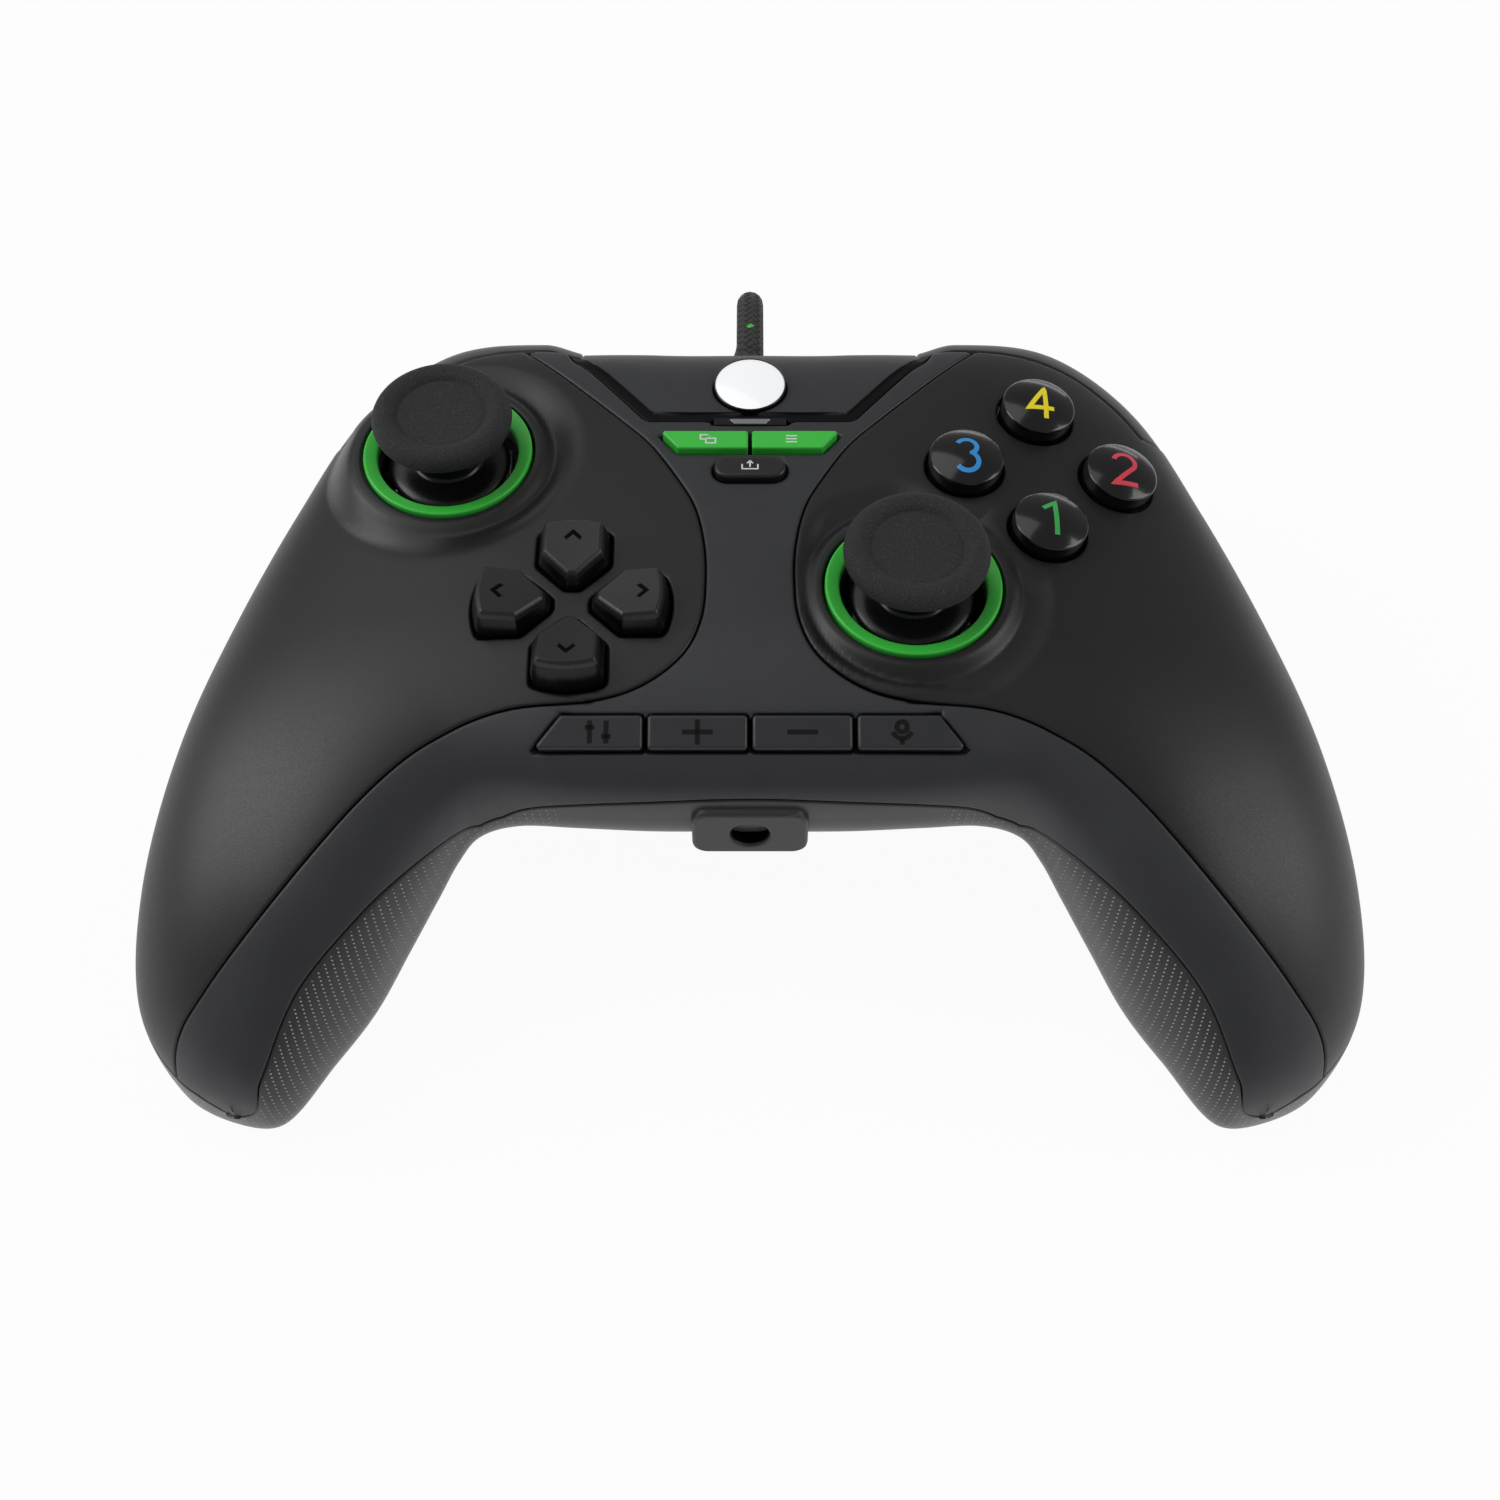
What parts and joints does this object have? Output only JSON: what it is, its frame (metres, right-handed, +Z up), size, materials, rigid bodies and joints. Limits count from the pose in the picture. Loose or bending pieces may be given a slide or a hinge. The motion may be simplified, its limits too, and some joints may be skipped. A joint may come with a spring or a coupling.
{
  "type": "gamepad",
  "caption": "Wired black gamepad with offset thumbsticks in green rings, separate direction keys, round face buttons, bumpers, triggers and a braided cable",
  "frame": {"origin": "middle of the pad's footprint on the table, cable left out", "axes": "x to the player's right, y away from the player, z up"},
  "size_m": [0.1592, 0.1348, 0.054],
  "materials": {
    "panel_black": "fine matte moulded texture",
    "frame_slate": "satin moulded",
    "shell_grey": "matte with light dots on the grips",
    "key_black": "polished",
    "key_matte": "matte",
    "key_green": "satin",
    "lens_white": "translucent look",
    "lens_grey": "smooth",
    "cap_rubber": "speckled grip",
    "soft_grey": "moulded",
    "inner_black": "moulded",
    "bright_steel": "plain",
    "board_green": "solder mask",
    "cord_braid": "braided black with green flecks",
    "cord_rubber": "moulded"
  },
  "bodies": {
    "pad": {"left_face_panel": "panel_black", "right_face_panel": "panel_black", "center_frame": "frame_slate", "guide_panel": "frame_slate", "indicator_lens": "lens_grey", "rear_shell": "shell_grey", "trigger_pins": "bright_steel", "trigger_springs": "bright_steel", "left_stick_ring": "key_green", "left_stick_housing": "bright_steel", "right_stick_ring": "key_green", "right_stick_housing": "bright_steel", "dpad_membrane": "soft_grey", "face_membrane": "soft_grey", "tact_switches": "inner_black", "main_board": "board_green", "audio_jack": "inner_black", "rumble_motor_left": "bright_steel", "rumble_motor_right": "bright_steel", "case_screws": "bright_steel", "strain_relief": "cord_rubber", "cable_lead": "cord_braid", "cable_coil": "cord_braid", "cable_tail": "cord_braid", "cable_tie": "cord_rubber", "usb_plug": "cord_rubber"},
    "left_stick_pitch": {"left_yoke_outer": "inner_black"},
    "left_stick_roll": {"left_yoke_inner": "inner_black"},
    "left_stick": {"left_stick_cap": "cap_rubber", "left_stick_dome": "inner_black"},
    "right_stick_pitch": {"right_yoke_outer": "inner_black"},
    "right_stick_roll": {"right_yoke_inner": "inner_black"},
    "right_stick": {"right_stick_cap": "cap_rubber", "right_stick_dome": "inner_black"},
    "face_north": {"face_button_north": "key_black"},
    "face_west": {"face_button_west": "key_black"},
    "face_south": {"face_button_south": "key_black"},
    "face_east": {"face_button_east": "key_black"},
    "direction_up": {"dpad_up": "key_matte"},
    "direction_left": {"dpad_left": "key_matte"},
    "direction_down": {"dpad_down": "key_matte"},
    "direction_right": {"dpad_right": "key_matte"},
    "guide_key": {"guide_button": "lens_white"},
    "view_key": {"view_button": "key_green"},
    "menu_key": {"menu_button": "key_green"},
    "share_key": {"share_button": "key_matte"},
    "function_profile": {"function_key_profile": "key_matte"},
    "function_plus": {"function_key_plus": "key_matte"},
    "function_minus": {"function_key_minus": "key_matte"},
    "function_mute": {"function_key_mute": "key_matte"},
    "bumper_left_arm": {"bumper_left": "key_black"},
    "trigger_left_arm": {"trigger_left": "key_matte"},
    "back_left": {"back_button_left": "key_matte"},
    "rumble_left": {"rumble_weight_left": "bright_steel"},
    "bumper_right_arm": {"bumper_right": "key_black"},
    "trigger_right_arm": {"trigger_right": "key_matte"},
    "back_right": {"back_button_right": "key_matte"},
    "rumble_right": {"rumble_weight_right": "bright_steel"}
  },
  "joints": [
    {"name": "left_stick_pitch_joint", "type": "hinge", "parent": "pad", "child": "left_stick_pitch", "pos_m": [-0.0409, 0.02491, 0.03744], "axis": [1, 0, 0], "range_deg": [-17, 17], "stiffness_Nm_per_rad": 0.05},
    {"name": "left_stick_roll_joint", "type": "hinge", "parent": "left_stick_pitch", "child": "left_stick_roll", "pos_m": [-0.0409, 0.02491, 0.03744], "axis": [0, 0.9994, 0.0349], "range_deg": [-17, 17], "stiffness_Nm_per_rad": 0.05},
    {"name": "left_stick_joint", "type": "slide", "parent": "left_stick_roll", "child": "left_stick", "axis": [0, 0.0349, -0.9994], "range_m": [0, 0.0005], "stiffness_N_per_m": 4000, "springref_m": -0.0004},
    {"name": "right_stick_pitch_joint", "type": "hinge", "parent": "pad", "child": "right_stick_pitch", "pos_m": [0.021, 0.00079, 0.0376], "axis": [1, 0, 0], "range_deg": [-17, 17], "stiffness_Nm_per_rad": 0.05},
    {"name": "right_stick_roll_joint", "type": "hinge", "parent": "right_stick_pitch", "child": "right_stick_roll", "pos_m": [0.021, 0.00079, 0.0376], "axis": [0, 0.9994, 0.0349], "range_deg": [-17, 17], "stiffness_Nm_per_rad": 0.05},
    {"name": "right_stick_joint", "type": "slide", "parent": "right_stick_roll", "child": "right_stick", "axis": [0, 0.0349, -0.9994], "range_m": [0, 0.0005], "stiffness_N_per_m": 4000, "springref_m": -0.0004},
    {"name": "face_north_joint", "type": "slide", "parent": "pad", "child": "face_north", "axis": [-0.1359, 0.0346, -0.9901], "range_m": [0, 0.0015], "stiffness_N_per_m": 500, "springref_m": -0.001},
    {"name": "face_west_joint", "type": "slide", "parent": "pad", "child": "face_west", "axis": [-0.0433, 0.0349, -0.9985], "range_m": [0, 0.0015], "stiffness_N_per_m": 500, "springref_m": -0.001},
    {"name": "face_south_joint", "type": "slide", "parent": "pad", "child": "face_south", "axis": [-0.1359, 0.0346, -0.9901], "range_m": [0, 0.0015], "stiffness_N_per_m": 500, "springref_m": -0.001},
    {"name": "face_east_joint", "type": "slide", "parent": "pad", "child": "face_east", "axis": [-0.2251, 0.034, -0.9737], "range_m": [0, 0.0015], "stiffness_N_per_m": 500, "springref_m": -0.001},
    {"name": "direction_up_joint", "type": "slide", "parent": "pad", "child": "direction_up", "axis": [0, 0.0349, -0.9994], "range_m": [0, 0.0012], "stiffness_N_per_m": 500, "springref_m": -0.001},
    {"name": "direction_left_joint", "type": "slide", "parent": "pad", "child": "direction_left", "axis": [0, 0.0349, -0.9994], "range_m": [0, 0.0012], "stiffness_N_per_m": 500, "springref_m": -0.001},
    {"name": "direction_down_joint", "type": "slide", "parent": "pad", "child": "direction_down", "axis": [0, 0.0349, -0.9994], "range_m": [0, 0.0012], "stiffness_N_per_m": 500, "springref_m": -0.001},
    {"name": "direction_right_joint", "type": "slide", "parent": "pad", "child": "direction_right", "axis": [0, 0.0349, -0.9994], "range_m": [0, 0.0012], "stiffness_N_per_m": 500, "springref_m": -0.001},
    {"name": "guide_key_joint", "type": "slide", "parent": "pad", "child": "guide_key", "axis": [0, 0.0349, -0.9994], "range_m": [0, 0.0006], "stiffness_N_per_m": 1500, "springref_m": -0.0005},
    {"name": "view_key_joint", "type": "slide", "parent": "pad", "child": "view_key", "axis": [0, 0.0349, -0.9994], "range_m": [0, 0.0006], "stiffness_N_per_m": 1500, "springref_m": -0.0005},
    {"name": "menu_key_joint", "type": "slide", "parent": "pad", "child": "menu_key", "axis": [0, 0.0349, -0.9994], "range_m": [0, 0.0006], "stiffness_N_per_m": 1500, "springref_m": -0.0005},
    {"name": "share_key_joint", "type": "slide", "parent": "pad", "child": "share_key", "axis": [0, 0.0349, -0.9994], "range_m": [0, 0.0006], "stiffness_N_per_m": 1500, "springref_m": -0.0005},
    {"name": "function_profile_joint", "type": "slide", "parent": "pad", "child": "function_profile", "axis": [0, 0.4226, -0.9063], "range_m": [0, 0.0006], "stiffness_N_per_m": 1500, "springref_m": -0.0005},
    {"name": "function_plus_joint", "type": "slide", "parent": "pad", "child": "function_plus", "axis": [0, 0.4226, -0.9063], "range_m": [0, 0.0006], "stiffness_N_per_m": 1500, "springref_m": -0.0005},
    {"name": "function_minus_joint", "type": "slide", "parent": "pad", "child": "function_minus", "axis": [0, 0.4226, -0.9063], "range_m": [0, 0.0006], "stiffness_N_per_m": 1500, "springref_m": -0.0005},
    {"name": "function_mute_joint", "type": "slide", "parent": "pad", "child": "function_mute", "axis": [0, 0.4226, -0.9063], "range_m": [0, 0.0006], "stiffness_N_per_m": 1500, "springref_m": -0.0005},
    {"name": "bumper_left_arm_joint", "type": "hinge", "parent": "pad", "child": "bumper_left_arm", "pos_m": [-0.0215, 0.04668, 0.0387], "axis": [0, -0.9994, -0.0349], "range_deg": [0, 2], "stiffness_Nm_per_rad": 2, "springref_deg": -1.15},
    {"name": "trigger_left_arm_joint", "type": "hinge", "parent": "pad", "child": "trigger_left_arm", "pos_m": [-0.044, 0.03654, 0.02814], "axis": [-1, 0, 0], "range_deg": [0, 18], "stiffness_Nm_per_rad": 0.15, "springref_deg": -51.57},
    {"name": "back_left_joint", "type": "slide", "parent": "pad", "child": "back_left", "axis": [0, -0.0349, 0.9994], "range_m": [0, 0.0008], "stiffness_N_per_m": 2000, "springref_m": -0.0006},
    {"name": "rumble_left_joint", "type": "hinge", "parent": "pad", "child": "rumble_left", "pos_m": [-0.06, -0.03818, 0.01873], "axis": [0, 0.9994, 0.0349], "continuous": true},
    {"name": "bumper_right_arm_joint", "type": "hinge", "parent": "pad", "child": "bumper_right_arm", "pos_m": [0.0215, 0.04668, 0.0387], "axis": [0, 0.9994, 0.0349], "range_deg": [0, 2], "stiffness_Nm_per_rad": 2, "springref_deg": -1.15},
    {"name": "trigger_right_arm_joint", "type": "hinge", "parent": "pad", "child": "trigger_right_arm", "pos_m": [0.044, 0.03654, 0.02814], "axis": [-1, 0, 0], "range_deg": [0, 18], "stiffness_Nm_per_rad": 0.15, "springref_deg": -51.57},
    {"name": "back_right_joint", "type": "slide", "parent": "pad", "child": "back_right", "axis": [0, -0.0349, 0.9994], "range_m": [0, 0.0008], "stiffness_N_per_m": 2000, "springref_m": -0.0006},
    {"name": "rumble_right_joint", "type": "hinge", "parent": "pad", "child": "rumble_right", "pos_m": [0.06, -0.03818, 0.01873], "axis": [0, 0.9994, 0.0349], "continuous": true}
  ]
}
